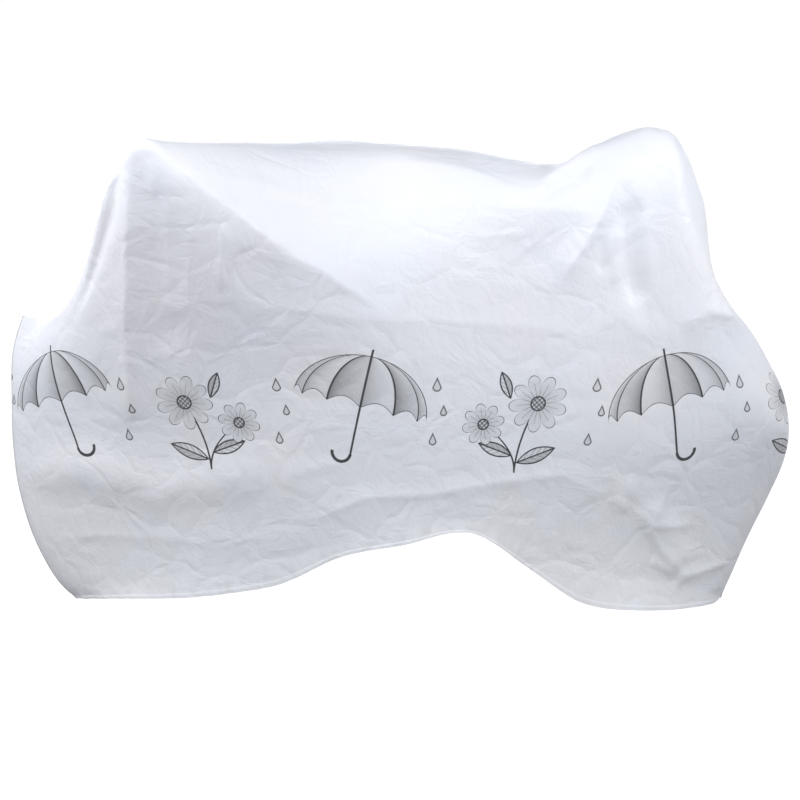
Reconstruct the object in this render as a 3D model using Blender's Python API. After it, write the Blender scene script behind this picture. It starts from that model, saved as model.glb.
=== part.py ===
"""Bicycle cover: one bag of milky film in the shape it takes when draped.

The film is folded over the top, welded up both ends and open at the hem.
"""

import bmesh
import bpy
import numpy as np

FILM = 0.002  # thickness of the film, m
NU = 56  # panels of the net from the front seam to the rear seam
NV = 48  # panels from the near hem over the top to the far hem
SIDE = 1.10  # height of one side laid flat, m
RUN = 1.90  # length of the bag laid flat, m
BEND = 2.0  # stiffness of the film against a bend
HOLD = 20.0  # how firmly a tight line is held
LEAN = 0.6  # how firmly the film leans on a broad place
FRONT_ROUND = 1.0  # how far the film keeps its bend across the front seam
REAR_ROUND = 5.0  # the same at the rear seam
FIRM = 1e7  # how firmly the hem and the seams are held
SHARPEST = 3.0  # how many times its thickness the film may reach into a sharp corner

# The cloth is a net. u runs from 0 at the front seam to 1 at the rear seam.
# v runs from -1 at the near hem over the top fold, at 0, to 1 at the far hem.
# Places are in metres: x to the rear, y away from the near side, z up from the ground.
NEAR_HEM = (  # u, x, y, z
    (0.00, -0.757, 0.020, 0.002),
    (0.08, -0.640, -0.050, 0.019),
    (0.17, -0.498, -0.080, 0.028),
    (0.25, -0.384, -0.090, 0.042),
    (0.33, -0.270, -0.100, 0.066),
    (0.42, -0.134, -0.120, 0.132),
    (0.51, 0.000, -0.140, 0.162),
    (0.61, 0.159, -0.145, 0.190),
    (0.69, 0.289, -0.140, 0.106),
    (0.77, 0.400, -0.145, 0.034),
    (0.86, 0.536, -0.135, 0.013),
    (0.95, 0.684, -0.060, 0.004),
    (1.00, 0.740, 0.000, 0.005),
)
FAR_HEM = (  # u, x, y, z
    (0.00, -0.757, 0.020, 0.002),
    (0.08, -0.650, 0.090, 0.022),
    (0.17, -0.505, 0.130, 0.040),
    (0.33, -0.270, 0.140, 0.080),
    (0.50, 0.000, 0.135, 0.150),
    (0.62, 0.190, 0.135, 0.160),
    (0.76, 0.394, 0.140, 0.060),
    (0.86, 0.536, 0.125, 0.030),
    (0.95, 0.684, 0.065, 0.020),
    (1.00, 0.740, 0.000, 0.009),
)
FRONT_SEAM = (  # from the top corner down, x, y, z
    (0.00, -0.872, 0.050, 0.658),
    (0.08, -0.895, 0.055, 0.592),
    (0.26, -0.905, 0.060, 0.464),
    (0.44, -0.904, 0.060, 0.346),
    (0.62, -0.886, 0.050, 0.230),
    (0.81, -0.844, 0.035, 0.114),
    (0.93, -0.795, 0.025, 0.035),
    (1.00, -0.757, 0.020, 0.002),
)
REAR_SEAM = (  # from the top corner down, x, y, z
    (0.00, 0.731, 0.015, 0.704),
    (0.07, 0.757, 0.018, 0.671),
    (0.14, 0.790, 0.020, 0.636),
    (0.24, 0.836, 0.020, 0.563),
    (0.34, 0.873, 0.020, 0.492),
    (0.47, 0.891, 0.020, 0.399),
    (0.57, 0.882, 0.020, 0.329),
    (0.69, 0.843, 0.015, 0.237),
    (0.82, 0.798, 0.010, 0.144),
    (1.00, 0.740, 0.000, 0.009),
)
# Lines along which the film is pulled tight, each between two places.
TAUT = (  # name, u, v, x, y, z, u, v, x, y, z
    ("near peak to the middle", 0.240, -0.250, -0.544, -0.302, 1.042, 0.333, 0.000, -0.362, 0.000, 1.048),
    ("middle to the far peak", 0.333, 0.000, -0.362, 0.000, 1.048, 0.425, 0.250, -0.195, 0.298, 1.040),
    ("front corner", 0.000, 0.000, -0.872, 0.050, 0.658, 0.060, -0.030, -0.764, 0.015, 0.661),
    ("front slope, foot", 0.060, -0.030, -0.764, 0.015, 0.661, 0.107, -0.110, -0.694, -0.077, 0.758),
    ("front slope, lower middle", 0.107, -0.110, -0.694, -0.077, 0.758, 0.149, -0.165, -0.661, -0.156, 0.844),
    ("front slope, upper middle", 0.149, -0.165, -0.661, -0.156, 0.844, 0.195, -0.195, -0.617, -0.238, 0.952),
    ("front slope, head", 0.195, -0.195, -0.617, -0.238, 0.952, 0.240, -0.250, -0.544, -0.302, 1.042),
    ("near peak to the side, upper", 0.240, -0.250, -0.544, -0.302, 1.042, 0.335, -0.295, -0.335, -0.235, 0.880),
    ("near peak to the side, lower", 0.335, -0.295, -0.335, -0.235, 0.880, 0.420, -0.330, -0.170, -0.190, 0.770),
    ("top to the dip", 0.500, -0.020, -0.020, -0.010, 1.024, 0.625, -0.080, 0.284, -0.110, 0.938),
    ("dip to the rear peak", 0.625, -0.080, 0.284, -0.110, 0.938, 0.730, -0.030, 0.470, -0.035, 1.050),
    ("far edge of the top", 0.425, 0.250, -0.195, 0.298, 1.040, 0.560, 0.150, 0.152, 0.150, 1.030),
    ("far edge of the dip", 0.560, 0.150, 0.152, 0.150, 1.030, 0.655, 0.100, 0.371, 0.120, 0.992),
    ("far edge to the rear peak", 0.655, 0.100, 0.371, 0.120, 0.992, 0.740, 0.045, 0.500, 0.045, 1.062),
    ("rear peak, fore", 0.730, 0.000, 0.475, 0.000, 1.062, 0.765, 0.000, 0.536, 0.000, 1.086),
    ("rear peak, crown", 0.765, 0.000, 0.536, 0.000, 1.086, 0.800, 0.000, 0.602, 0.000, 1.078),
    ("rear peak, aft", 0.800, 0.000, 0.602, 0.000, 1.078, 0.830, 0.000, 0.645, 0.002, 1.014),
    ("rear slope, head", 0.830, 0.000, 0.645, 0.002, 1.014, 0.880, 0.000, 0.683, 0.005, 0.915),
    ("rear slope", 0.880, 0.000, 0.683, 0.005, 0.915, 0.955, 0.000, 0.702, 0.010, 0.770),
    ("rear slope, foot", 0.955, 0.000, 0.702, 0.010, 0.770, 1.000, 0.000, 0.731, 0.015, 0.704),
    ("rear peak, near cheek", 0.765, -0.083, 0.542, -0.084, 1.030, 0.812, -0.083, 0.606, -0.087, 1.012),
    ("rear peak, far cheek", 0.765, 0.083, 0.542, 0.084, 1.030, 0.812, 0.083, 0.606, 0.087, 1.012),
    ("rear slope, near", 0.812, -0.083, 0.606, -0.087, 1.012, 0.965, -0.083, 0.710, -0.055, 0.710),
    ("rear slope, far", 0.812, 0.083, 0.606, 0.087, 1.012, 0.965, 0.083, 0.710, 0.085, 0.710),
)
# Broad places where the film leans on what it covers, at this y.
HELD = (  # name, u, v, reach m, y
    ("front round, near", 0.18, -0.70, 0.10, -0.085),
    ("front round, far", 0.18, 0.70, 0.10, 0.130),
    ("near panel, front", 0.33, -0.60, 0.10, -0.130),
    ("near panel, middle", 0.53, -0.60, 0.12, -0.150),
    ("near panel, rear", 0.76, -0.60, 0.12, -0.160),
    ("far panel, front", 0.33, 0.60, 0.10, 0.180),
    ("far panel, middle", 0.53, 0.60, 0.12, 0.165),
    ("far panel, rear", 0.76, 0.60, 0.12, 0.155),
    ("rear round, near", 0.94, -0.45, 0.08, -0.100),
    ("rear round, far", 0.94, 0.45, 0.08, 0.120),
)
# Broad folds, each from one place of the net to another.
# A fold is a soft ridge, or a trough where its height is below zero.
FOLDS = (  # name, u, v, u, v, width m, height m
    ("pleat under the near peak", 0.228, -0.310, 0.165, -0.560, 0.040, 0.016),
    ("hollow beside the pleat", 0.248, -0.330, 0.225, -0.500, 0.040, -0.012),
    ("soft pleat off the near peak", 0.265, -0.330, 0.300, -0.460, 0.045, 0.008),
    ("crest over the front round, fore", 0.020, -0.540, 0.188, -0.740, 0.050, 0.010),
    ("crest over the front round, aft", 0.188, -0.740, 0.354, -0.770, 0.050, 0.010),
    ("swag behind the near peak", 0.520, -0.140, 0.610, -0.235, 0.050, -0.012),
    ("swag before the rear peak", 0.610, -0.235, 0.700, -0.250, 0.050, -0.012),
    ("trough before the rear peak", 0.723, -0.220, 0.716, -0.300, 0.030, -0.010),
    ("ridge before the rear peak", 0.737, -0.200, 0.742, -0.310, 0.030, 0.012),
    ("trough under the rear peak", 0.757, -0.160, 0.772, -0.320, 0.038, -0.020),
    ("edge of the rear shelf", 0.823, -0.345, 0.905, -0.200, 0.035, 0.012),
    ("slant over the rear round", 0.820, -0.740, 0.900, -0.900, 0.040, 0.010),
    ("pleat under the far peak", 0.437, 0.310, 0.460, 0.600, 0.045, 0.016),
    ("hollow beside the far pleat", 0.415, 0.340, 0.410, 0.540, 0.045, -0.012),
    ("trough under the rear peak, far", 0.765, 0.170, 0.770, 0.330, 0.040, -0.018),
    ("swag on the far side", 0.520, 0.380, 0.680, 0.300, 0.060, -0.012),
)
MILK = (0.86, 0.88, 0.92, 1.0)


def along(rows, t):
    """A smooth curve through the rows of a table, whose first column says how far along each row is."""
    rows = np.array(rows, float)
    at, points = rows[:, 0], rows[:, 1:]
    steps = np.diff(points, axis=0) / np.diff(at)[:, None]
    slope = np.vstack([steps[:1], (steps[1:] + steps[:-1]) / 2, steps[-1:]])
    k = np.clip(np.searchsorted(at, t, side="right") - 1, 0, len(at) - 2)
    span = at[k + 1] - at[k]
    s = (t - at[k]) / span
    return (
        points[k] * (1 + 2 * s) * (1 - s) ** 2
        + slope[k] * span * s * (1 - s) ** 2
        + points[k + 1] * s * s * (3 - 2 * s)
        + slope[k + 1] * span * s * s * (s - 1)
    )


def node(i, j):
    """The number of a knot of the net. The near and far sides share the knots of both end seams."""
    if i in (0, NU) and j > NV // 2:
        j = NV - j
    return i * (NV + 1) + j


def corners(u, v):
    """The four knots round a place of the net, with their shares."""
    a, b = u * NU, (v + 1) / 2 * NV
    i, j = min(int(a), NU - 1), min(int(b), NV - 1)
    a, b = a - i, b - j
    return (
        (node(i, j), (1 - a) * (1 - b)),
        (node(i + 1, j), a * (1 - b)),
        (node(i, j + 1), (1 - a) * b),
        (node(i + 1, j + 1), a * b),
    )


def edges_of_cloth():
    """The places of the knots on the hem and on the seams."""
    fixed = {}
    for i in range(NU + 1):
        fixed[node(i, 0)] = along(NEAR_HEM, i / NU)
        fixed[node(i, NV)] = along(FAR_HEM, i / NU)
    for j in range(NV // 2 + 1):
        down = 1 - j / (NV // 2)
        fixed[node(0, j)] = along(FRONT_SEAM, down)
        fixed[node(NU, j)] = along(REAR_SEAM, down)
    return fixed


def pulls():
    """All held places, as knots with their shares, the place each is held at and how firmly."""
    found = []
    for _, u, v, reach, y in HELD:
        for i in range(1, NU):
            for j in range(1, NV):
                off = np.hypot((i / NU - u) * RUN, (2 * j / NV - 1 - v) * SIDE) / reach
                if off < 2:
                    found.append((((node(i, j), 1.0),), (None, y, None), LEAN * np.exp(-off * off)))
    for _, u0, v0, x0, y0, z0, u1, v1, x1, y1, z1 in TAUT:
        count = 3 + int(2 * max(abs(u1 - u0) * NU, abs(v1 - v0) * NV / 2))
        for s in np.linspace(0, 1, count):
            place = (x0 + (x1 - x0) * s, y0 + (y1 - y0) * s, z0 + (z1 - z0) * s)
            found.append((corners(u0 + (u1 - u0) * s, v0 + (v1 - v0) * s), place, HOLD))
    return found


def drape():
    """Lets the film settle between its edges and the places that hold it."""
    size = (NU + 1) * (NV + 1)
    wide, tall = RUN / NU, 2 * SIDE / NV
    pull = np.zeros((size, size))

    def add(knots, shares, weight):
        for a, sa in zip(knots, shares):
            for b, sb in zip(knots, shares):
                pull[a, b] += weight * sa * sb

    for i in range(NU + 1):
        for j in range(NV + 1):
            if i < NU:
                add((node(i, j), node(i + 1, j)), (1, -1), tall / wide)
            if j < NV:
                add((node(i, j), node(i, j + 1)), (1, -1), wide / tall)
            if 0 < i < NU:
                add((node(i - 1, j), node(i, j), node(i + 1, j)), (1, -2, 1), BEND)
            if 0 < j < NV:
                add((node(i, j - 1), node(i, j), node(i, j + 1)), (1, -2, 1), BEND)
    for j in range(1, NV // 2):
        for end, inside, bend in ((0, 1, FRONT_ROUND), (NU, NU - 1, REAR_ROUND)):
            add((node(inside, j), node(end, j), node(inside, NV - j)), (1, -2, 1), bend)
    fixed = edges_of_cloth()
    held = pulls()
    places = np.zeros((size, 3))
    for k in range(3):
        stiff, want = pull.copy(), np.zeros(size)
        for knots, place, firm in held:
            if place[k] is None:
                continue
            for a, sa in knots:
                want[a] += firm * sa * place[k]
                for b, sb in knots:
                    stiff[a, b] += firm * sa * sb
        for a, place in fixed.items():
            stiff[a, a] += FIRM
            want[a] += FIRM * place[k]
        shared = np.flatnonzero(np.diag(stiff) == 0)
        stiff[shared, shared] = 1.0
        places[:, k] = np.linalg.solve(stiff, want)
    return places


def fold_height(u, v):
    """How far the folds lift the film at a place of the net."""
    height = 0.0
    for _, u0, v0, u1, v1, width, lift in FOLDS:
        line = np.array(((u1 - u0) * RUN, (v1 - v0) * SIDE))
        here = np.array(((u - u0) * RUN, (v - v0) * SIDE))
        long = np.linalg.norm(line)
        s = here @ line / long
        past = max(-s, s - long, 0.0)
        off = abs(here[0] * line[1] - here[1] * line[0]) / long
        height += lift * np.exp(-((off / width) ** 2) - (past / (1.5 * width)) ** 2)
    return height


def cover():
    """The film as one closed solid, its outside first."""
    places = drape()
    bm = bmesh.new()
    outer = {}
    for i in range(NU + 1):
        for j in range(NV + 1):
            if node(i, j) not in outer:
                outer[node(i, j)] = bm.verts.new(places[node(i, j)])
    for i in range(NU):
        for j in range(NV):
            ring = []
            for a in ((i, j), (i + 1, j), (i + 1, j + 1), (i, j + 1)):
                knot = outer[node(*a)]
                if knot not in ring:
                    ring.append(knot)
            bm.faces.new(ring)
    bm.normal_update()
    moved = {}
    for i in range(NU + 1):
        for j in range(NV + 1):
            knot = outer[node(i, j)]
            if node(i, j) not in moved:
                moved[node(i, j)] = knot.co + knot.normal * fold_height(i / NU, 2 * j / NV - 1)
    for number, place in moved.items():
        outer[number].co = place
    bm.normal_update()
    inner = {}
    for number, knot in list(outer.items()):
        inner[number] = bm.verts.new(knot.co - knot.normal * FILM * min(knot.calc_shell_factor(), SHARPEST))
    twin = {outer[n]: inner[n] for n in outer}
    rim = [e for e in bm.edges if e.is_boundary]
    for face in list(bm.faces):
        bm.faces.new([twin[v] for v in reversed(face.verts)])
    for edge in rim:
        a, b = edge.verts
        bm.faces.new((b, a, twin[a], twin[b]))
    bmesh.ops.recalc_face_normals(bm, faces=bm.faces)
    low = np.min([v.co for v in bm.verts], axis=0)
    high = np.max([v.co for v in bm.verts], axis=0)
    middle = (low + high) / 2
    bmesh.ops.translate(bm, verts=bm.verts, vec=(-middle[0], -middle[1], -low[2]))
    bmesh.ops.triangulate(bm, faces=bm.faces)
    mesh = bpy.data.meshes.new("cover")
    bm.to_mesh(mesh)
    bm.free()
    return bpy.data.objects.new("cover", mesh)


for old in list(bpy.data.objects):
    bpy.data.objects.remove(old)
body = cover()
film = bpy.data.materials.new("milky film")
film.use_nodes = True
surface = film.node_tree.nodes["Principled BSDF"]
surface.inputs["Base Color"].default_value = MILK
surface.inputs["Roughness"].default_value = 0.35
body.data.materials.append(film)
bpy.context.scene.collection.objects.link(body)
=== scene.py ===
"""Looks of the bicycle cover: its milky film, folds, hem and printed band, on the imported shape."""

import math

import bmesh
import bpy
import numpy as np
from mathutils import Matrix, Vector


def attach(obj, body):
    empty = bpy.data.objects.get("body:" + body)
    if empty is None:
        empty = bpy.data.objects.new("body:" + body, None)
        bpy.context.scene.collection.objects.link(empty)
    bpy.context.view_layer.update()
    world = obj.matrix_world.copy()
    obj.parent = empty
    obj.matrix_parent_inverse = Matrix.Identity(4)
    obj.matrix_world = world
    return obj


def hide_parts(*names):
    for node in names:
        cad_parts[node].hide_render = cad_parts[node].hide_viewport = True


# The net that the film settles on is the one that the solid was worked out with, in its own frame.
NU = 56  # panels of the net from the front seam to the rear seam
NV = 48  # panels from the near hem over the top to the far hem
SIDE = 1.10  # height of one side laid flat, m
RUN = 1.90  # length of the bag laid flat, m
BEND = 2.0  # stiffness of the film against a bend
HOLD = 20.0  # how firmly a tight line is held
LEAN = 0.6  # how firmly the film leans on a broad place
FRONT_ROUND = 1.0  # how far the film keeps its bend across the front seam
REAR_ROUND = 5.0  # the same at the rear seam
FIRM = 1e7  # how firmly the hem and the seams are held
FINE_U = 310  # panels of the shown sheet from seam to seam
FINE_V = 292  # panels of the shown sheet from hem to hem
HEM_ROWS = 12  # how many of them, at each hem, are narrow
HEM_STEP = 0.0025  # height of a narrow row, m
HEM_TALL = 0.011  # height of the folded hem, m
HEM_RISE = 0.0012  # how far the folded hem stands proud of the film, m
HEM_EDGE = 0.0012  # height over which it falls back to the film at its upper edge, m
PUCKERS = ((0.027, 0.0003, 0.4), (0.044, 0.0005, 2.1), (0.085, 0.0009, 4.0))  # wave m, height m, phase
PUCKER_REACH = 0.030  # how far up from the hem the gathers die out, m
PUCKER_DRIFT = (3, 23)  # how far the gathers bunch up and spread along the hem, in radians, and how often
WELD_GAP = 0.0008  # how far apart the two layers lie at the inner line of an end weld, m

NEAR_HEM = (  # u, x, y, z
    (0.00, -0.757, 0.020, 0.002),
    (0.08, -0.640, -0.050, 0.019),
    (0.17, -0.498, -0.080, 0.028),
    (0.25, -0.384, -0.090, 0.042),
    (0.33, -0.270, -0.100, 0.066),
    (0.42, -0.134, -0.120, 0.132),
    (0.51, 0.000, -0.140, 0.162),
    (0.61, 0.159, -0.145, 0.190),
    (0.69, 0.289, -0.140, 0.106),
    (0.77, 0.400, -0.145, 0.034),
    (0.86, 0.536, -0.135, 0.013),
    (0.95, 0.684, -0.060, 0.004),
    (1.00, 0.740, 0.000, 0.005),
)
FAR_HEM = (  # u, x, y, z
    (0.00, -0.757, 0.020, 0.002),
    (0.08, -0.650, 0.090, 0.022),
    (0.17, -0.505, 0.130, 0.040),
    (0.33, -0.270, 0.140, 0.080),
    (0.50, 0.000, 0.135, 0.150),
    (0.62, 0.190, 0.135, 0.160),
    (0.76, 0.394, 0.140, 0.060),
    (0.86, 0.536, 0.125, 0.030),
    (0.95, 0.684, 0.065, 0.020),
    (1.00, 0.740, 0.000, 0.009),
)
FRONT_SEAM = (  # from the top corner down, x, y, z
    (0.00, -0.872, 0.050, 0.658),
    (0.08, -0.895, 0.055, 0.592),
    (0.26, -0.905, 0.060, 0.464),
    (0.44, -0.904, 0.060, 0.346),
    (0.62, -0.886, 0.050, 0.230),
    (0.81, -0.844, 0.035, 0.114),
    (0.93, -0.795, 0.025, 0.035),
    (1.00, -0.757, 0.020, 0.002),
)
REAR_SEAM = (  # from the top corner down, x, y, z
    (0.00, 0.731, 0.015, 0.704),
    (0.07, 0.757, 0.018, 0.671),
    (0.14, 0.790, 0.020, 0.636),
    (0.24, 0.836, 0.020, 0.563),
    (0.34, 0.873, 0.020, 0.492),
    (0.47, 0.891, 0.020, 0.399),
    (0.57, 0.882, 0.020, 0.329),
    (0.69, 0.843, 0.015, 0.237),
    (0.82, 0.798, 0.010, 0.144),
    (1.00, 0.740, 0.000, 0.009),
)
TAUT = (  # name, u, v, x, y, z, u, v, x, y, z
    ("near peak to the middle", 0.240, -0.250, -0.544, -0.302, 1.042, 0.333, 0.000, -0.362, 0.000, 1.048),
    ("middle to the far peak", 0.333, 0.000, -0.362, 0.000, 1.048, 0.425, 0.250, -0.195, 0.298, 1.040),
    ("front corner", 0.000, 0.000, -0.872, 0.050, 0.658, 0.060, -0.030, -0.764, 0.015, 0.661),
    ("front slope, foot", 0.060, -0.030, -0.764, 0.015, 0.661, 0.107, -0.110, -0.694, -0.077, 0.758),
    ("front slope, lower middle", 0.107, -0.110, -0.694, -0.077, 0.758, 0.149, -0.165, -0.661, -0.156, 0.844),
    ("front slope, upper middle", 0.149, -0.165, -0.661, -0.156, 0.844, 0.195, -0.195, -0.617, -0.238, 0.952),
    ("front slope, head", 0.195, -0.195, -0.617, -0.238, 0.952, 0.240, -0.250, -0.544, -0.302, 1.042),
    ("near peak to the side, upper", 0.240, -0.250, -0.544, -0.302, 1.042,
     0.335, -0.295, -0.335, -0.235, 0.880),
    ("near peak to the side, lower", 0.335, -0.295, -0.335, -0.235, 0.880,
     0.420, -0.330, -0.170, -0.190, 0.770),
    ("top to the dip", 0.500, -0.020, -0.020, -0.010, 1.024, 0.625, -0.080, 0.284, -0.110, 0.938),
    ("dip to the rear peak", 0.625, -0.080, 0.284, -0.110, 0.938, 0.730, -0.030, 0.470, -0.035, 1.050),
    ("far edge of the top", 0.425, 0.250, -0.195, 0.298, 1.040, 0.560, 0.150, 0.152, 0.150, 1.030),
    ("far edge of the dip", 0.560, 0.150, 0.152, 0.150, 1.030, 0.655, 0.100, 0.371, 0.120, 0.992),
    ("far edge to the rear peak", 0.655, 0.100, 0.371, 0.120, 0.992, 0.740, 0.045, 0.500, 0.045, 1.062),
    ("rear peak, fore", 0.730, 0.000, 0.475, 0.000, 1.062, 0.765, 0.000, 0.536, 0.000, 1.086),
    ("rear peak, crown", 0.765, 0.000, 0.536, 0.000, 1.086, 0.800, 0.000, 0.602, 0.000, 1.078),
    ("rear peak, aft", 0.800, 0.000, 0.602, 0.000, 1.078, 0.830, 0.000, 0.645, 0.002, 1.014),
    ("rear slope, head", 0.830, 0.000, 0.645, 0.002, 1.014, 0.880, 0.000, 0.683, 0.005, 0.915),
    ("rear slope", 0.880, 0.000, 0.683, 0.005, 0.915, 0.955, 0.000, 0.702, 0.010, 0.770),
    ("rear slope, foot", 0.955, 0.000, 0.702, 0.010, 0.770, 1.000, 0.000, 0.731, 0.015, 0.704),
    ("rear peak, near cheek", 0.765, -0.083, 0.542, -0.084, 1.030, 0.812, -0.083, 0.606, -0.087, 1.012),
    ("rear peak, far cheek", 0.765, 0.083, 0.542, 0.084, 1.030, 0.812, 0.083, 0.606, 0.087, 1.012),
    ("rear slope, near", 0.812, -0.083, 0.606, -0.087, 1.012, 0.965, -0.083, 0.710, -0.055, 0.710),
    ("rear slope, far", 0.812, 0.083, 0.606, 0.087, 1.012, 0.965, 0.083, 0.710, 0.085, 0.710),
)
HELD = (  # name, u, v, reach m, y
    ("front round, near", 0.18, -0.70, 0.10, -0.085),
    ("front round, far", 0.18, 0.70, 0.10, 0.130),
    ("near panel, front", 0.33, -0.60, 0.10, -0.130),
    ("near panel, middle", 0.53, -0.60, 0.12, -0.150),
    ("near panel, rear", 0.76, -0.60, 0.12, -0.160),
    ("far panel, front", 0.33, 0.60, 0.10, 0.180),
    ("far panel, middle", 0.53, 0.60, 0.12, 0.165),
    ("far panel, rear", 0.76, 0.60, 0.12, 0.155),
    ("rear round, near", 0.94, -0.45, 0.08, -0.100),
    ("rear round, far", 0.94, 0.45, 0.08, 0.120),
)
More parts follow.
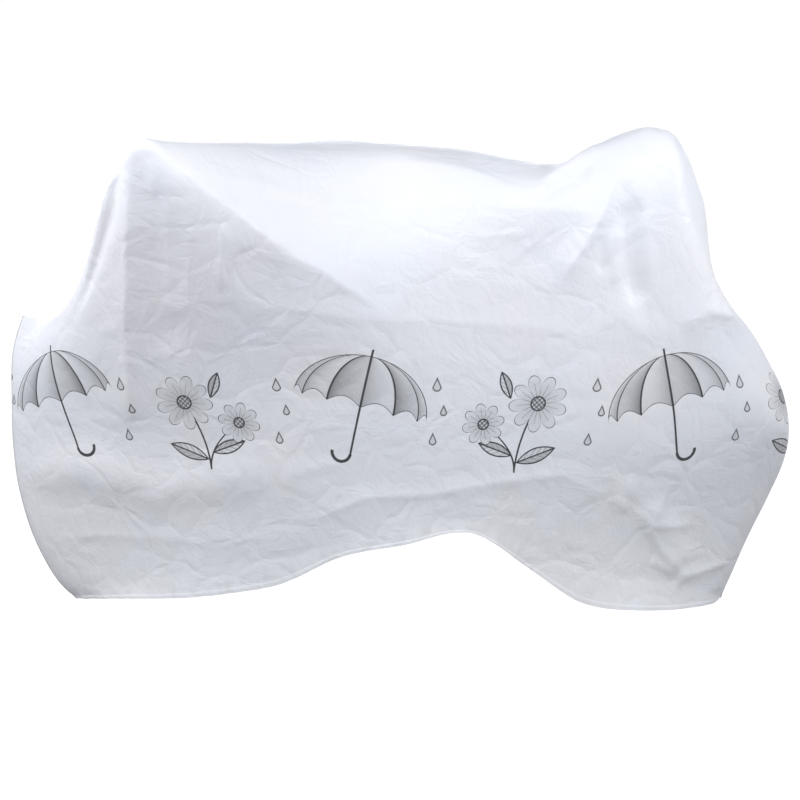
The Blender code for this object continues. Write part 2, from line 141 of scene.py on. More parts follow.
# Folds of the film, each along a line of places of the net. A fold is a ridge, and one whose height is below
# zero is a trough.
ROUND, CRISP = 2.0, 1.0  # a soft fold, or one with a sharp crest
CREST = 0.003  # half width of a sharp crest, m
FOLDS = (  # name, width m, height m, crest, the places u, v along it
    ("crease off the near peak", 0.032, 0.010, CRISP,
     ((0.252, -0.254), (0.286, -0.271), (0.319, -0.281), (0.357, -0.307), (0.386, -0.323), (0.420, -0.331),
      (0.480, -0.400))),
    ("line over the crease", 0.012, 0.003, CRISP, ((0.286, -0.262), (0.359, -0.182), (0.400, -0.182))),
    ("hollow under the crease", 0.060, -0.006, ROUND, ((0.322, -0.350), (0.345, -0.385), (0.385, -0.400))),
    ("side of the hollow", 0.014, 0.006, CRISP, ((0.317, -0.315), (0.310, -0.370), (0.304, -0.422))),
    ("pleat under the near peak", 0.034, 0.012, CRISP,
     ((0.228, -0.266), (0.205, -0.339), (0.186, -0.420), (0.165, -0.600))),
    ("trough before the pleat", 0.024, -0.008, ROUND,
     ((0.221, -0.228), (0.194, -0.268), (0.160, -0.276), (0.120, -0.285))),
    ("ridge before the trough", 0.030, 0.004, CRISP, ((0.195, -0.215), (0.140, -0.235))),
    ("hollow beside the pleat", 0.040, -0.006, ROUND, ((0.248, -0.330), (0.225, -0.500))),
    ("streak beside the pleat", 0.010, 0.003, CRISP, ((0.263, -0.300), (0.250, -0.380), (0.240, -0.440))),
    ("second streak beside the pleat", 0.010, 0.002, CRISP, ((0.285, -0.330), (0.262, -0.430))),
    ("nick by the pleat", 0.010, 0.004, CRISP, ((0.256, -0.275), (0.245, -0.310))),
    ("crest over the front round", 0.050, 0.010, ROUND, ((0.020, -0.540), (0.188, -0.740), (0.354, -0.770))),
    ("low fold in front", 0.012, 0.002, CRISP, ((0.040, -0.780), (0.210, -0.870), (0.330, -0.901))),
    ("upright nick in front", 0.010, 0.002, CRISP, ((0.105, -0.562), (0.092, -0.661))),
    ("upright nick at the front hem", 0.010, 0.003, CRISP, ((0.212, -0.891), (0.192, -1.000))),
    ("low crest", 0.024, 0.004, CRISP,
     ((0.353, -0.896), (0.460, -0.849), (0.549, -0.854), (0.714, -0.729), (0.797, -0.766))),
    ("crease over the low crest", 0.012, 0.002, CRISP, ((0.353, -0.771), (0.442, -0.750))),
    ("streak by the front round", 0.012, 0.002, CRISP, ((0.318, -0.480), (0.330, -0.600))),
    ("wrinkle on the top, first", 0.010, 0.003, CRISP, ((0.392, -0.180), (0.420, -0.150))),
    ("wrinkle on the top, second", 0.010, 0.003, CRISP, ((0.396, -0.196), (0.428, -0.163))),
    ("wrinkle on the top, long", 0.012, 0.004, CRISP, ((0.440, -0.175), (0.480, -0.160), (0.520, -0.130))),
    ("wrinkle on the top, low", 0.012, 0.003, CRISP, ((0.430, -0.215), (0.500, -0.190))),
    ("edge of the top", 0.014, 0.005, CRISP,
     ((0.520, -0.025), (0.565, -0.036), (0.583, -0.047), (0.603, -0.073), (0.621, -0.094))),
    ("edge before the rear peak", 0.034, 0.012, CRISP,
     ((0.613, -0.100), (0.638, -0.070), (0.661, -0.048), (0.688, -0.026), (0.720, -0.006))),
    ("hollow under the edge", 0.026, -0.016, ROUND, ((0.632, -0.095), (0.668, -0.088), (0.705, -0.075))),
    ("wrinkle behind the edge", 0.012, 0.004, CRISP, ((0.560, 0.045), (0.600, 0.020), (0.650, 0.010))),
    ("swag under the top", 0.050, -0.003, ROUND, ((0.520, -0.140), (0.610, -0.235), (0.700, -0.250))),
    ("arc under the dip", 0.012, 0.002, CRISP, ((0.578, -0.214), (0.641, -0.203))),
    ("short arc under the dip", 0.010, 0.003, CRISP, ((0.638, -0.245), (0.658, -0.214))),
    ("shelf under the dip", 0.018, 0.004, CRISP, ((0.645, -0.146), (0.708, -0.177))),
    ("ridge off the rear peak", 0.028, 0.012, CRISP,
     ((0.742, -0.090), (0.727, -0.160), (0.712, -0.220), (0.681, -0.312))),
    ("nick under the ridge", 0.014, -0.005, ROUND, ((0.722, -0.215), (0.736, -0.285))),
    ("ridge between the nicks", 0.012, 0.006, CRISP, ((0.742, -0.200), (0.740, -0.250), (0.748, -0.310))),
    ("trough under the rear peak", 0.028, -0.015, ROUND, ((0.750, -0.150), (0.765, -0.235), (0.788, -0.330))),
    ("edge beside the trough", 0.024, 0.006, CRISP, ((0.775, -0.165), (0.790, -0.240), (0.803, -0.330))),
    ("lump under the trough", 0.036, 0.005, ROUND, ((0.735, -0.360), (0.800, -0.360))),
    ("edge of the rear shelf", 0.032, 0.011, CRISP, ((0.833, -0.340), (0.880, -0.270), (0.950, -0.190))),
    ("upright crease behind the rear peak", 0.014, 0.004, CRISP,
     ((0.828, -0.270), (0.835, -0.417), (0.839, -0.562))),
    ("rear crease", 0.014, 0.003, CRISP, ((0.920, -0.540), (0.940, -0.700), (0.960, -0.859))),
    ("slant over the rear round", 0.040, 0.010, ROUND, ((0.820, -0.740), (0.900, -0.900))),
    ("web at the rear, long", 0.012, 0.004, CRISP, ((0.844, -0.620), (0.844, -0.760), (0.837, -0.807))),
    ("web at the rear, first", 0.011, 0.003, CRISP, ((0.779, -0.690), (0.786, -0.775))),
    ("web at the rear, second", 0.011, 0.004, CRISP, ((0.800, -0.690), (0.797, -0.792))),
    ("web at the rear, low", 0.012, 0.005, CRISP,
     ((0.821, -0.771), (0.857, -0.854), (0.904, -0.917), (0.893, -0.965))),
    ("web at the rear, third", 0.011, 0.004, CRISP, ((0.839, -0.797), (0.890, -0.786))),
    ("web at the rear, fourth", 0.014, 0.005, CRISP, ((0.904, -0.917), (0.962, -0.880))),
    ("web at the rear, fifth", 0.010, 0.004, CRISP, ((0.845, -0.880), (0.893, -0.915))),
    ("pleat under the far peak", 0.034, 0.012, CRISP, ((0.437, 0.300), (0.455, 0.440), (0.470, 0.620))),
    ("crease off the far peak", 0.045, 0.009, CRISP, ((0.420, 0.260), (0.320, 0.300), (0.220, 0.400))),
    ("hollow beside the far pleat", 0.045, -0.012, ROUND, ((0.415, 0.340), (0.410, 0.540))),
    ("trough under the rear peak, far", 0.026, -0.016, ROUND, ((0.765, 0.170), (0.770, 0.330))),
    ("ridge under the rear peak, far", 0.014, 0.006, CRISP, ((0.740, 0.180), (0.735, 0.320))),
    ("swag on the far side", 0.060, -0.012, ROUND, ((0.520, 0.380), (0.680, 0.300))),
    ("far slant in front", 0.050, 0.008, ROUND, ((0.120, 0.480), (0.230, 0.800))),
    ("far slant at the rear", 0.045, 0.008, ROUND, ((0.860, 0.420), (0.800, 0.760))),
    ("far web, long", 0.012, 0.003, CRISP, ((0.250, 0.760), (0.300, 0.880), (0.360, 0.930))),
    ("far web, short", 0.012, 0.003, CRISP, ((0.270, 0.830), (0.220, 0.900))),
    ("far web at the rear", 0.012, 0.003, CRISP, ((0.640, 0.700), (0.700, 0.820), (0.690, 0.920))),
)
# The creases that are left from when the bag was folded small. The same on both sides.
PACKED = (  # width m, height m, the places u and how far down along it
    (0.026, 0.0030,
     ((0.120, 0.400), (0.174, 0.408), (0.250, 0.438), (0.335, 0.434), (0.766, 0.400), (0.833, 0.354))),
    (0.012, 0.0015, ((0.500, 0.250), (0.500, 0.950))),
    (0.012, -0.0015, ((0.310, 0.450), (0.320, 0.880))),
    (0.012, -0.0015, ((0.670, 0.300), (0.670, 0.940))),
)
END_SHARE = 0.3  # how much of its height a fold has at its two ends
END_RUN = 0.2  # over what share of its length it fades to that
BAND = 0.455  # height of the middle of the printed band, m
# The print: an umbrella and a spray of daisies by turns, with raindrops between them. Sizes in metres.
PITCH = 0.345  # from the middle of one picture to the middle of the next
STAGGER = 0.016  # how far the umbrellas stand above the middle of the band, and the daisies below it
LEAN_OVER = 14.0  # degrees that an umbrella leans, to the front and to the rear by turns
LINE = 0.0016  # half the width of a drawn line
HAIRLINE = 0.0007  # half the width of a thin one
INK = (0.030, 0.032, 0.036)
CANOPY = (0.148, 0.118)  # half the width and the height of the umbrella's canopy
PANELS = 6  # of the canopy, from side to side
SCALLOP = 0.15  # depth of a scallop, as a share of the canopy's height
SHAFT = 0.108  # length below the canopy
CROOK = 0.021  # radius of the handle
DAISIES = ((-0.042, 0.042, 0.064, 9, 0.4), (0.074, -0.004, 0.047, 8, 0.9))  # x, y, radius, petals, turn
FOOT = (-0.004, -0.112)  # where the stems of the spray meet
LEAVES = (  # x, y, degrees, length, half width
    (-0.006, -0.090, 158.0, 0.092, 0.017),
    (0.004, -0.074, 20.0, 0.084, 0.015),
    (0.018, 0.052, 68.0, 0.066, 0.013),
)
DROPS = ((-0.006, 0.062, 0.0085), (0.010, 0.006, 0.0065), (-0.012, -0.058, 0.0075))  # x, y, radius
PANEL_SHADES = (0.42, 0.18, 0.14, 0.12)  # across a panel, every other panel, towards the foot, all over
NARROWEST = 0.01  # least square of the canopy's half width, as a share, that the drawing divides by
FERRULE = 1.13  # how high the umbrella's shaft reaches, as a share of its canopy's height
SHAFT_LINE, CROOK_LINE = 1.5, 2.2  # how much broader they are than a drawn line
NOTCH = 0.52  # depth of the gaps between the petals, as a share of the daisy's radius
HEART = 0.24  # radius of its middle, as a share
HEART_SHADES = (0.45, 0.45)  # of its hatching, and all over
HATCH, HATCH_EDGE = 620, -0.1  # how closely the middle is hatched, and how broadly
PETAL_SHADES = (0.50, 0.36)  # at the middle, and how far it lightens to the tip
VEIN_LINE, VEIN_REACH = 2, 0.72  # breadth of a petal's line beside a hairline, and its reach as a share
LEAF_VEINS = (6, 1.3, 0.16, 0.75)  # how many, their slant, their breadth as a share and their shade
LEAF_SHADES = (0.26, 0.26)  # of its upper half beyond the lower, and all over
STEM_LINE = 1.3  # how much broader a stem is than a drawn line
DROP_TAPER = 0.45  # how fast a drop narrows to its tip
DROP_SHADES = (0.30, 0.6)  # inside it, and its outline beyond that
# The film's finish. A scale is of Blender's textures, on a piece measured in metres.
MILK = (0.735, 0.745, 0.785)  # the film
WARM = (0.765, 0.745, 0.765)  # the film where it looks warmer
WARM_SCALE = 3.5  # of the warmer patches
WARM_FROM, WARM_RATE = 0.40, 5.0  # at which level of their noise they start, and how fast they come
CLEAR = 0.10  # share of light that goes straight through the film
GLOW = 0.35  # share of the rest that comes out on the other side
ROUGH = 0.38  # satin
SOFT_SCALE = 9.0  # of the soft unevenness
WANDER_SCALE = 5.0  # of the bends in the crumples
WANDER = 0.16  # how far they bend, m
CRUMPLES = ((11.0, 0.16, 2.2), (31.0, 0.12, 0.7))  # scale, half width of a crease, steepness of its sides
CRUMPLE_SHARE = 0.55  # how strong they are beside the soft unevenness
RELIEF = (0.55, 0.009)  # strength and depth, m, of both
LAMPS = (  # name, place, what it faces, width and height m, W
    ("over the front", (-0.1, -1.15, 1.95), (-0.1, 0.0, 0.80), (2.4, 0.9), 21.5),
    ("before the front", (-0.1, -1.70, 1.75), (-0.1, 0.0, 0.80), (2.4, 0.9), 26.0),
    ("behind", (0.0, 2.40, 1.30), (0.0, 0.1, 0.50), (2.4, 0.9), 32.0),
    ("left flank", (-1.6, -0.5, 1.35), (-0.68, -0.05, 0.85), (0.6, 0.6), 17.0),
    ("right flank", (1.6, -0.5, 1.40), (0.68, -0.05, 0.85), (0.6, 0.6), 13.0),
    ("overhead", (0.1, 0.35, 2.30), (0.1, 0.0, 1.00), (2.2, 0.5), 2.5),
)
COOL = (0.93, 0.965, 1.0)  # colour of the lights
WALLS = 1.03  # brightness of the white walls all round
WALL_TOP = (0.16, 0.34)  # where the walls turn into the sky, as heights on a unit sphere
WALL_FOOT = (-0.10, -0.04)  # where the floor turns into the walls
WALL_COLOUR = (0.98, 0.99, 1.0)
SKY = 0.05  # brightness of the sky overhead
UNDER = 0.05  # brightness of what the floor throws back
FLOOR_GLOW = 1.12  # how brightly the floor is white, whatever falls on it
FLOOR_REACH = 40.0  # radius of the floor, m
FLOOR_DROP = 0.001  # how far it lies below the hem, m
EYE = (0.004, -3.573, 0.908)  # where the camera stands, m
EYE_TILT = 83.0  # degrees that it looks up from straight down
EYE_LENS = 71.0  # mm
EYE_SENSOR = 36.0  # mm


def along(rows, t):
    """A smooth curve through the rows of a table, whose first column says how far along each row is."""
    rows = np.array(rows, float)
    at, points = rows[:, 0], rows[:, 1:]
    steps = np.diff(points, axis=0) / np.diff(at)[:, None]
    slope = np.vstack([steps[:1], (steps[1:] + steps[:-1]) / 2, steps[-1:]])
    k = np.clip(np.searchsorted(at, t, side="right") - 1, 0, len(at) - 2)
    span = at[k + 1] - at[k]
    s = (t - at[k]) / span
    return (
        points[k] * (1 + 2 * s) * (1 - s) ** 2
        + slope[k] * span * s * (1 - s) ** 2
        + points[k + 1] * s * s * (3 - 2 * s)
        + slope[k + 1] * span * s * s * (s - 1)
    )


def knot(i, j):
    """The number of a knot of the net. The near and far sides share the knots of both end seams."""
    if i in (0, NU) and j > NV // 2:
        j = NV - j
    return i * (NV + 1) + j


def corners(u, v):
    """The four knots round a place of the net, with their shares."""
    a, b = u * NU, (v + 1) / 2 * NV
    i, j = min(int(a), NU - 1), min(int(b), NV - 1)
    a, b = a - i, b - j
    return (
        (knot(i, j), (1 - a) * (1 - b)),
        (knot(i + 1, j), a * (1 - b)),
        (knot(i, j + 1), (1 - a) * b),
        (knot(i + 1, j + 1), a * b),
    )


def edges_of_cloth():
    """The places of the knots on the hem and on the seams."""
    fixed = {}
    for i in range(NU + 1):
        fixed[knot(i, 0)] = along(NEAR_HEM, i / NU)
        fixed[knot(i, NV)] = along(FAR_HEM, i / NU)
    for j in range(NV // 2 + 1):
        down = 1 - j / (NV // 2)
        fixed[knot(0, j)] = along(FRONT_SEAM, down)
        fixed[knot(NU, j)] = along(REAR_SEAM, down)
    return fixed


def pulls():
    """All held places, as knots with their shares, the place each is held at and how firmly."""
    found = []
    for _, u, v, reach, y in HELD:
        for i in range(1, NU):
            for j in range(1, NV):
                off = np.hypot((i / NU - u) * RUN, (2 * j / NV - 1 - v) * SIDE) / reach
                if off < 2:
                    found.append((((knot(i, j), 1.0),), (None, y, None), LEAN * np.exp(-off * off)))
    for _, u0, v0, x0, y0, z0, u1, v1, x1, y1, z1 in TAUT:
        count = 3 + int(2 * max(abs(u1 - u0) * NU, abs(v1 - v0) * NV / 2))
        for s in np.linspace(0, 1, count):
            place = (x0 + (x1 - x0) * s, y0 + (y1 - y0) * s, z0 + (z1 - z0) * s)
            found.append((corners(u0 + (u1 - u0) * s, v0 + (v1 - v0) * s), place, HOLD))
    return found


def drape():
    """Lets the film settle between its edges and the places that hold it. A place for each knot."""
    size = (NU + 1) * (NV + 1)
    wide, tall = RUN / NU, 2 * SIDE / NV
    pull = np.zeros((size, size))

    def add(knots, shares, weight):
        for a, sa in zip(knots, shares):
            for b, sb in zip(knots, shares):
                pull[a, b] += weight * sa * sb

    for i in range(NU + 1):
        for j in range(NV + 1):
            if i < NU:
                add((knot(i, j), knot(i + 1, j)), (1, -1), tall / wide)
            if j < NV:
                add((knot(i, j), knot(i, j + 1)), (1, -1), wide / tall)
            if 0 < i < NU:
                add((knot(i - 1, j), knot(i, j), knot(i + 1, j)), (1, -2, 1), BEND)
            if 0 < j < NV:
                add((knot(i, j - 1), knot(i, j), knot(i, j + 1)), (1, -2, 1), BEND)
    for j in range(1, NV // 2):
        for end, inside, bend in ((0, 1, FRONT_ROUND), (NU, NU - 1, REAR_ROUND)):
            add((knot(inside, j), knot(end, j), knot(inside, NV - j)), (1, -2, 1), bend)
    fixed = edges_of_cloth()
    held = pulls()
    places = np.zeros((size, 3))
    for k in range(3):
        stiff, want = pull.copy(), np.zeros(size)
        for knots, place, firm in held:
            if place[k] is None:
                continue
            for a, sa in knots:
                want[a] += firm * sa * place[k]
                for b, sb in knots:
                    stiff[a, b] += firm * sa * sb
        for a, place in fixed.items():
            stiff[a, a] += FIRM
            want[a] += FIRM * place[k]
        unused = np.flatnonzero(np.diag(stiff) == 0)
        stiff[unused, unused] = 1.0
        places[:, k] = np.linalg.solve(stiff, want)
    numbers = [[knot(i, j) for j in range(NV + 1)] for i in range(NU + 1)]
    return places[numbers]


def fine_rows():
    """Where the rows of the shown sheet lie, from hem to hem. They are narrow at both hems."""
    narrow = 1 - np.arange(HEM_ROWS) * HEM_STEP / SIDE
    broad = np.linspace(narrow[-1] - HEM_STEP / SIDE, 0, FINE_V // 2 - HEM_ROWS + 1)
    half = np.concatenate([narrow, broad])
    return np.concatenate([-half, half[-2::-1]])


def finer(net, t):
    """The net at the places t along its first axis, on a smooth curve through its knots."""
    i = np.minimum(t.astype(int), len(net) - 2)
    s = (t - i)[:, None, None]
    slope = np.gradient(net, axis=0)
    return (
        net[i] * (1 + 2 * s) * (1 - s) ** 2
        + slope[i] * s * (1 - s) ** 2
        + net[i + 1] * s * s * (3 - 2 * s)
        + slope[i + 1] * s * s * (s - 1)
    )


def outward(net):
    """The direction that the film faces at each knot."""
    facing = np.cross(np.gradient(net, axis=0), np.gradient(net, axis=1))
    return facing / np.maximum(np.linalg.norm(facing, axis=2, keepdims=True), 1e-12)


def fold_height(u, v):
    """How far the folds lift the film at each place of the net."""
    folds = [row[1:] for row in FOLDS]
    for side in (-1, 1):
        for width, lift, places in PACKED:
            folds.append((width, lift, CRISP, [(at, side * down) for at, down in places]))
    height = np.zeros_like(u)
    for width, lift, crest, places in folds:
        line = np.array(places) * (RUN, SIDE)
        steps = np.diff(line, axis=0)
        longs = np.hypot(*steps.T)
        gone = np.concatenate([[0.0], np.cumsum(longs)])
        nearest = np.full_like(u, np.inf)
        share = np.zeros_like(u)
        for (x0, y0), (run, side), long, before in zip(line, steps, longs, gone):
            x, y = u * RUN - x0, v * SIDE - y0
            s = np.clip((x * run + y * side) / long, 0, long)
            off = np.hypot(x - s * run / long, y - s * side / long)
            share = np.where(off < nearest, (before + s) / gone[-1], share)
            nearest = np.minimum(off, nearest)
        fade = np.clip(np.minimum(share, 1 - share) / END_RUN, 0, 1)
        fade = END_SHARE + (1 - END_SHARE) * fade * fade * (3 - 2 * fade)
        off = np.hypot(nearest, CREST) - CREST
        height += lift * fade * np.exp(-((off / width) ** crest))
    return height


def weld(net):
    """Joins the two sides at both end seams, and presses them flat just inside each seam."""
    half = FINE_V // 2
    for end, inside in ((0, 1), (FINE_U, FINE_U - 1)):
        seam = (net[end, : half + 1] + net[end, half:][::-1]) / 2
        near, far = net[inside, : half + 1], net[inside, half:][::-1]
        middle, across = (near + far) / 2, (near - far) / 2
        across *= WELD_GAP / np.maximum(np.linalg.norm(across, axis=1, keepdims=True), WELD_GAP)
        net[inside, : half + 1] = middle + across
        net[inside, half:] = (middle - across)[::-1]
        net[end, : half + 1] = seam
        net[end, half:] = seam[::-1]


def hem_height(u, v):
    """How far the folded hem and its gathers lift the film at each place of the net."""
    up = (1 - np.abs(v)) * SIDE
    band = HEM_RISE * (1 - np.tanh((up - HEM_TALL) / HEM_EDGE)) / 2
    far, often = PUCKER_DRIFT
    drift = far * np.sin(u * often)
    waves = sum(tall * np.sin(u * RUN / wave * 2 * np.pi + phase + drift) for wave, tall, phase in PUCKERS)
    return band + waves * np.exp(-((up / PUCKER_REACH) ** 2))


def film_sheet():
    """The film as one sheet from hem to hem, joined at its end seams. Its flat measures are its UV map."""
    rows = fine_rows()
    net = finer(drape(), np.linspace(0, NU, FINE_U + 1))
    net = finer(net.transpose(1, 0, 2), (rows + 1) / 2 * NV).transpose(1, 0, 2)
    u, v = np.meshgrid(np.linspace(0, 1, FINE_U + 1), rows, indexing="ij")
    net = net + outward(net) * (fold_height(u, v) + hem_height(u, v))[..., None]
    weld(net)
    bm = bmesh.new()
    bmesh.ops.create_grid(bm, x_segments=FINE_U, y_segments=FINE_V, size=1.0)
    uv = bm.loops.layers.uv.new("flat")
    measures = flat_measures(net)
    where = {}
    for vert in bm.verts:
        i = round((vert.co.x + 1) / 2 * FINE_U)
        j = round((vert.co.y + 1) / 2 * FINE_V)
        where[vert] = (i, j)
        vert.co = net[i, j]
    for face in bm.faces:
        for loop in face.loops:
            loop[uv].uv = measures[where[loop.vert]]
        face.smooth = True
    bmesh.ops.remove_doubles(bm, verts=bm.verts, dist=1e-6)
    low = np.min([vert.co for vert in bm.verts], axis=0)
    high = np.max([vert.co for vert in bm.verts], axis=0)
    middle = (low + high) / 2
    bmesh.ops.translate(bm, verts=bm.verts, vec=(-middle[0], -middle[1], -low[2]))
    mesh = bpy.data.meshes.new("film")
    bm.to_mesh(mesh)
    bm.free()
    sheet = bpy.data.objects.new("film", mesh)
    bpy.context.scene.collection.objects.link(sheet)
    return sheet


def flat_measures(net):
    """Metres along the cloth from the front seam, and metres up or down it from the middle of the band."""
    steps = np.linalg.norm(np.diff(net, axis=1), axis=2)
    down = np.concatenate([np.zeros((len(net), 1)), np.cumsum(steps, axis=1)], axis=1)
    half = FINE_V // 2
    measures = np.zeros(net.shape[:2] + (2,))
    for rows in (slice(0, half + 1), slice(half, FINE_V + 1)):
        part, reach = net[:, rows], down[:, rows]
        if rows.start:
            part, reach = part[:, ::-1], -reach[:, ::-1]
        level = [np.interp(BAND, column[:, 2], lengths) for column, lengths in zip(part, reach)]
        line = [
            [np.interp(mark, lengths, column[:, k]) for k in range(3)]
            for mark, column, lengths in zip(level, part, reach)
        ]
        gone = np.linalg.norm(np.diff(line, axis=0), axis=1)
        run = np.concatenate([[0.0], np.cumsum(gone)])
        measures[:, rows, 0] = run[:, None]
        drop = np.array(level)[:, None] - (reach[:, ::-1] if rows.start else reach)
        measures[:, rows, 1] = drop
    return measures


class Maths:
    """A number that changes over a surface. An expression on it adds the nodes that work it out."""

    def __init__(self, tree, socket):
        self.tree = tree
        self.socket = socket

    def node(self, kind, settings=(), inputs=(), output=0):
        """A new node of this kind, set and joined up, as a number for more maths."""
        node = self.tree.nodes.new(kind)
        for name, value in dict(settings).items():
            setattr(node, name, value)
        for key, value in dict(inputs).items():
            if isinstance(value, Maths):
                self.tree.links.new(value.socket, node.inputs[key])
            else:
                node.inputs[key].default_value = value
        return Maths(self.tree, node.outputs[output] if node.outputs else None)

    def maths(self, operation, *values):
        """The result of a Math node that does this to the values."""
        return self.node("ShaderNodeMath", {"operation": operation}, enumerate(values))

    def __add__(self, other):
        return self.maths("ADD", self, other)

    __radd__ = __add__

    def __sub__(self, other):
        return self.maths("SUBTRACT", self, other)

    def __rsub__(self, other):
        return self.maths("SUBTRACT", other, self)

    def __mul__(self, other):
        return self.maths("MULTIPLY", self, other)

    __rmul__ = __mul__

    def __truediv__(self, other):
        return self.maths("DIVIDE", self, other)

    def __mod__(self, other):
        return self.maths("FLOORED_MODULO", self, other)

    def __lt__(self, other):
        return self.maths("LESS_THAN", self, other)

    def __gt__(self, other):
        return self.maths("GREATER_THAN", self, other)

    def __abs__(self):
        return self.maths("ABSOLUTE", self)

    def above(self, other):
        """The larger of the two."""
        return self.maths("MAXIMUM", self, other)

    def below(self, other):
        """The smaller of the two."""
        return self.maths("MINIMUM", self, other)

    def length(self, other):
        """How long a step of these two sides is."""
        return self.maths("SQRT", self * self + other * other)


def placed(x, y, at_x, at_y, degrees):
    """The measures of a drawing whose origin is put at a place and turned."""
    c, s = math.cos(math.radians(degrees)), math.sin(math.radians(degrees))
    x, y = x - at_x, y - at_y
    return x * c + y * s, y * c - x * s


def umbrella(x, y):
    """How dark the ink of an open umbrella is. Its origin is the middle of its canopy's foot."""
    wide, tall = CANOPY
    out = (x / wide).length(y / tall)
    level = (1 - (y / tall) * (y / tall)).above(NARROWEST)
    level = level.maths("SQRT", level)
    across = (x / wide / level).below(1.0).above(-1.0)
    panel = (across.maths("ARCSINE", across) / math.pi + 0.5) * PANELS
    part = panel % 1.0
    wave = part * math.pi
    edge = y / tall - wave.maths("SINE", wave) * SCALLOP
    inside = (out < 1.0) * (edge > 0.0)
    rib = part.below(1 - part) * level * (2 * wide / PANELS)
    round_it, odd, low, all_over = PANEL_SHADES
    tone = part * part * round_it + (panel / 2 % 1.0 > 0.5) * odd + (1 - y / tall) * low + all_over
    rim = abs(out - 1) * tall < LINE
    foot = abs(edge) * tall < LINE
    canopy = inside * tone.above(rib < LINE).above(rim).above(foot)
    shaft = (abs(x) < LINE * SHAFT_LINE) * (y > -SHAFT) * (y < tall * FERRULE) * (1 - inside)
    ring = (x - CROOK).length(y + SHAFT)
    crook = (abs(ring - CROOK) < LINE * CROOK_LINE) * (y < -SHAFT)
    return canopy.above(shaft).above(crook)


def daisy(x, y, radius, petals, turn):
    """How dark the ink of a daisy is, and where the daisy covers what is behind it."""
    reach = x.length(y)
    round_it = y.maths("ARCTAN2", y, x) * (petals / 2) + turn
    lobe = abs(round_it.maths("COSINE", round_it))
    edge = (lobe.maths("SQRT", lobe) * NOTCH + (1 - NOTCH)) * radius
    vein = abs(round_it.maths("SINE", round_it)) * reach
    heart = radius * HEART
    cover = reach < edge
    tone = PETAL_SHADES[0] - reach / radius * PETAL_SHADES[1]
    lines = (abs(reach - edge) < LINE).above((lobe * reach < LINE) * cover)
    lines = lines.above((vein < HAIRLINE * VEIN_LINE) * (reach < radius * VEIN_REACH))
    across, up = x * HATCH, y * HATCH
    hatch = across.maths("SINE", across) * up.maths("SINE", up) > HATCH_EDGE
    middle = (reach < heart) * (hatch * HEART_SHADES[0] + HEART_SHADES[1])
    petal = cover * (reach > heart) * tone.above(lines)
    return petal.above(middle).above(abs(reach - heart) < LINE), cover


def leaf(x, y, long, wide):
    """How dark the ink of a leaf is. Its origin is at its stalk, and it lies along x."""
    reach = x / long * 2 - 1
    edge = abs(y) - (1 - reach * reach) * wide
    inside = (edge < 0) * (abs(reach) < 1.0)
    number, slant, breadth, shade = LEAF_VEINS
    veins = ((x - abs(y) * slant) / (long / number) % 1.0 < breadth) * shade
    tone = (y > 0) * LEAF_SHADES[0] + LEAF_SHADES[1]
    return inside * tone.above(veins).above(abs(y) < LINE).above(edge > -LINE * 2)


def stem(x, y, top):
    """How dark the ink of a bowed stem is, from the foot of the spray to a flower."""
    up = (y - FOOT[1]) / (top[1] - FOOT[1])
    bow = up * up * (top[0] - FOOT[0]) + FOOT[0]
    return (abs(x - bow) < LINE * STEM_LINE) * (up > 0.0) * (up < 1.0)


def spray(x, y):
    """How dark the ink of a spray of daisies is."""
    dark = None
    for at_x, at_y, degrees, long, wide in LEAVES:
        blade = leaf(*placed(x, y, at_x, at_y, degrees), long, wide)
        dark = blade if dark is None else dark.above(blade)
    for at_x, at_y, *_ in DAISIES:
        dark = dark.above(stem(x, y, (at_x, at_y)))
    for at_x, at_y, radius, petals, turn in DAISIES:
        flower, cover = daisy(x - at_x, y - at_y, radius, petals, turn)
        dark = (dark * (1 - cover)).above(flower)
    return dark


def raindrops(x, y):
    """How dark the ink of the drops between two pictures is."""
    dark = None
    for at_x, at_y, radius in DROPS:
        across, up = x - at_x, y - at_y
        edge = across.length(up.below(0.0)) + up.above(0.0) * DROP_TAPER - radius
        drop = (edge < LINE) * ((edge > -LINE) * DROP_SHADES[1] + DROP_SHADES[0])
        dark = drop if dark is None else dark.above(drop)
    return dark


def printed_band(start):
    """How dark the ink is over the whole film."""
    flat = start.node("ShaderNodeUVMap", {"uv_map": "flat"})
    run = start.node("ShaderNodeSeparateXYZ", (), {0: flat}, output=0)
    up = 0 - start.node("ShaderNodeSeparateXYZ", (), {0: flat}, output=1)
    number = run / PITCH
    number = number.maths("FLOOR", number)
    x = run - (number + 0.5) * PITCH
    odd = number % 2
    other_way = 1 - (number / 2 % 2 > 0.9) * 2
    umbrellas = umbrella(*placed(x * other_way, up, 0.0, STAGGER, LEAN_OVER))
    daisies = spray(x * other_way, up + STAGGER)
    between = (x > 0) * PITCH
    drops = raindrops(x + PITCH / 2 - between, up)
    return (umbrellas * (1 - odd)).above(daisies * odd).above(drops)


def crumples(start, place, scale, width, steepness):
    """The creases of crumpled film at one scale. Each is a valley between two flat facets."""
    edge = start.node(
        "ShaderNodeTexVoronoi", {"feature": "DISTANCE_TO_EDGE"}, {"Vector": place, "Scale": scale}
    )
    return edge.below(width) * steepness


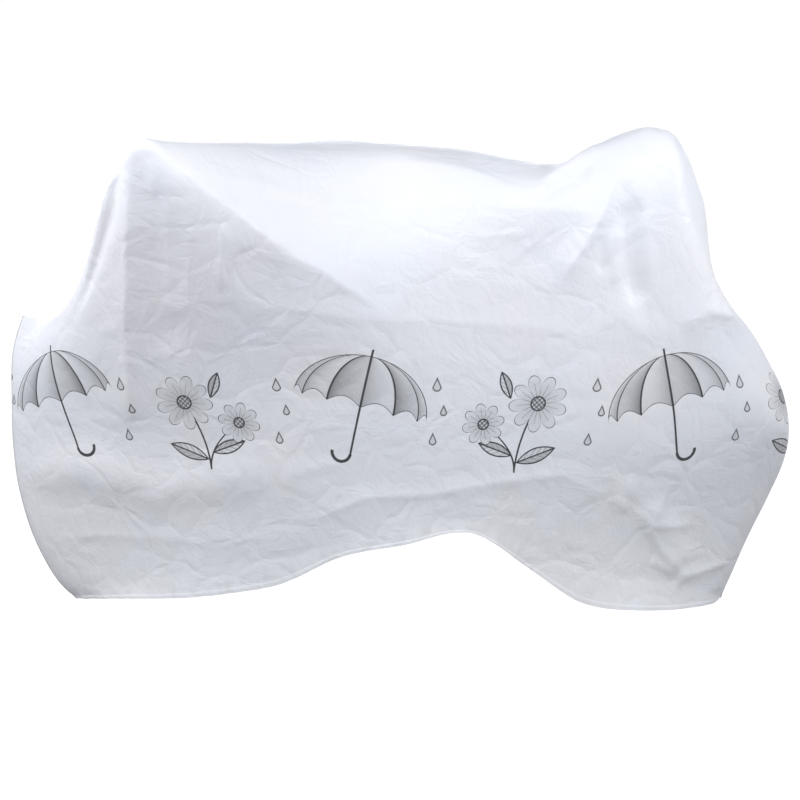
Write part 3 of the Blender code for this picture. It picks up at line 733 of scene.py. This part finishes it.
def film_material():
    """Milky see-through film, satin on its outside."""
    material = bpy.data.materials.new("milky film")
    material.use_nodes = True
    tree = material.node_tree
    tree.nodes.clear()
    start = Maths(tree, None)
    place = start.node("ShaderNodeTexCoord", output="Object")
    soft = start.node(
        "ShaderNodeTexNoise",
        {"noise_dimensions": "3D"},
        {"Vector": place, "Scale": SOFT_SCALE, "Detail": 4.0, "Roughness": 0.55, "Distortion": 0.8},
    )
    sway = start.node(
        "ShaderNodeTexNoise", (), {"Vector": place, "Scale": WANDER_SCALE, "Detail": 2.0}, output=1
    )
    bent = start.node(
        "ShaderNodeVectorMath", {"operation": "MULTIPLY_ADD"}, {0: sway, 1: (WANDER,) * 3, 2: place}
    )
    large, small = [crumples(start, bent, *row) for row in CRUMPLES]
    crumple = soft + (large + small) * CRUMPLE_SHARE
    strength, depth = RELIEF
    bump = start.node("ShaderNodeBump", (), {"Strength": strength, "Distance": depth, "Height": crumple})
    dark = printed_band(start)
    patches = start.node("ShaderNodeTexNoise", (), {"Vector": place, "Scale": WARM_SCALE, "Detail": 2.0})
    warmth = ((patches - WARM_FROM) * WARM_RATE).above(0.0).below(1.0)
    milk = start.node(
        "ShaderNodeMix",
        {"data_type": "RGBA"},
        {"Factor": warmth, "A": (*MILK, 1.0), "B": (*WARM, 1.0)},
        output="Result",
    )
    colour = start.node(
        "ShaderNodeMix",
        {"data_type": "RGBA"},
        {"Factor": dark, "A": milk, "B": (*INK, 1.0)},
        output="Result",
    )
    cover = 1 - (1 - dark) * CLEAR
    skin = start.node(
        "ShaderNodeBsdfPrincipled",
        (),
        {"Base Color": colour, "Roughness": ROUGH, "IOR": 1.45, "Alpha": cover, "Normal": bump},
    )
    through = start.node("ShaderNodeBsdfTranslucent", (), {"Color": (*MILK, 1.0), "Normal": bump})
    both = start.node("ShaderNodeMixShader", (), {0: (1 - dark) * GLOW, 1: skin, 2: through})
    start.node("ShaderNodeOutputMaterial", (), {"Surface": both})
    return material


def floor():
    """A wide white floor. It glows and takes no light, so no shadow falls on it."""
    bm = bmesh.new()
    bmesh.ops.create_circle(bm, cap_ends=True, segments=96, radius=FLOOR_REACH)
    mesh = bpy.data.meshes.new("floor")
    bm.to_mesh(mesh)
    bm.free()
    ground = bpy.data.objects.new("floor", mesh)
    ground.location.z = -FLOOR_DROP
    ground.visible_diffuse = False
    paint = bpy.data.materials.new("pale floor")
    paint.use_nodes = True
    surface = paint.node_tree.nodes["Principled BSDF"]
    surface.inputs["Base Color"].default_value = (0.0, 0.0, 0.0, 1.0)
    surface.inputs["Roughness"].default_value = 1.0
    surface.inputs["Specular IOR Level"].default_value = 0.0
    surface.inputs["Emission Color"].default_value = (1.0, 1.0, 1.0, 1.0)
    surface.inputs["Emission Strength"].default_value = FLOOR_GLOW
    mesh.materials.append(paint)
    bpy.context.scene.collection.objects.link(ground)
    return ground


def lamp(name, place, aim, size, power):
    """A broad soft lamp that stands at a place and faces a point."""
    light = bpy.data.lights.new(name, "AREA")
    light.shape = "RECTANGLE"
    light.size, light.size_y = size
    light.energy = power
    light.color = COOL
    holder = bpy.data.objects.new(name, light)
    holder.location = place
    holder.rotation_euler = (Vector(aim) - Vector(place)).to_track_quat("-Z", "Y").to_euler()
    bpy.context.scene.collection.objects.link(holder)


def surroundings():
    """White walls all round at eye level, with a dim sky and a dim floor."""
    world = bpy.data.worlds.new("white")
    world.use_nodes = True
    tree = world.node_tree
    start = Maths(tree, None)
    place = start.node("ShaderNodeTexCoord", output="Generated")
    height = start.node("ShaderNodeSeparateXYZ", (), {0: place}, output=2)
    sky, ground = [
        start.node(
            "ShaderNodeMapRange",
            (),
            {"Value": height, "From Min": low, "From Max": high, "To Min": at_low, "To Max": at_high},
        )
        for (low, high), at_low, at_high in ((WALL_TOP, 0.0, SKY - WALLS), (WALL_FOOT, UNDER - WALLS, 0.0))
    ]
    share = sky + ground + WALLS
    tree.links.new(share.socket, tree.nodes["Background"].inputs["Strength"])
    tree.nodes["Background"].inputs["Color"].default_value = (*WALL_COLOUR, 1.0)
    bpy.context.scene.world = world


def studio():
    """The camera, the lamps and the white surroundings."""
    eye = bpy.data.cameras.new("eye")
    eye.lens = EYE_LENS
    eye.sensor_width = EYE_SENSOR
    camera = bpy.data.objects.new("eye", eye)
    camera.location = EYE
    camera.rotation_euler = (math.radians(EYE_TILT), 0.0, 0.0)
    bpy.context.scene.collection.objects.link(camera)
    bpy.context.scene.camera = camera
    for row in LAMPS:
        lamp(*row)
    surroundings()
    bpy.context.scene.view_settings.view_transform = "Standard"


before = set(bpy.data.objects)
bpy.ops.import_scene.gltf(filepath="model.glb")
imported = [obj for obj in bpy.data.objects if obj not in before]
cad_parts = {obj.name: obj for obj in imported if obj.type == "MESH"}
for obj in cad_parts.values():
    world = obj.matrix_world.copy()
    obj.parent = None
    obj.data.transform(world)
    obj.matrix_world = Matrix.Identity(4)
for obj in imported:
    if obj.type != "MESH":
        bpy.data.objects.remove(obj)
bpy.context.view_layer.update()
film = film_sheet()
film.data.materials.append(film_material())
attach(film, "root")
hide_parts("cover")
floor()
studio()
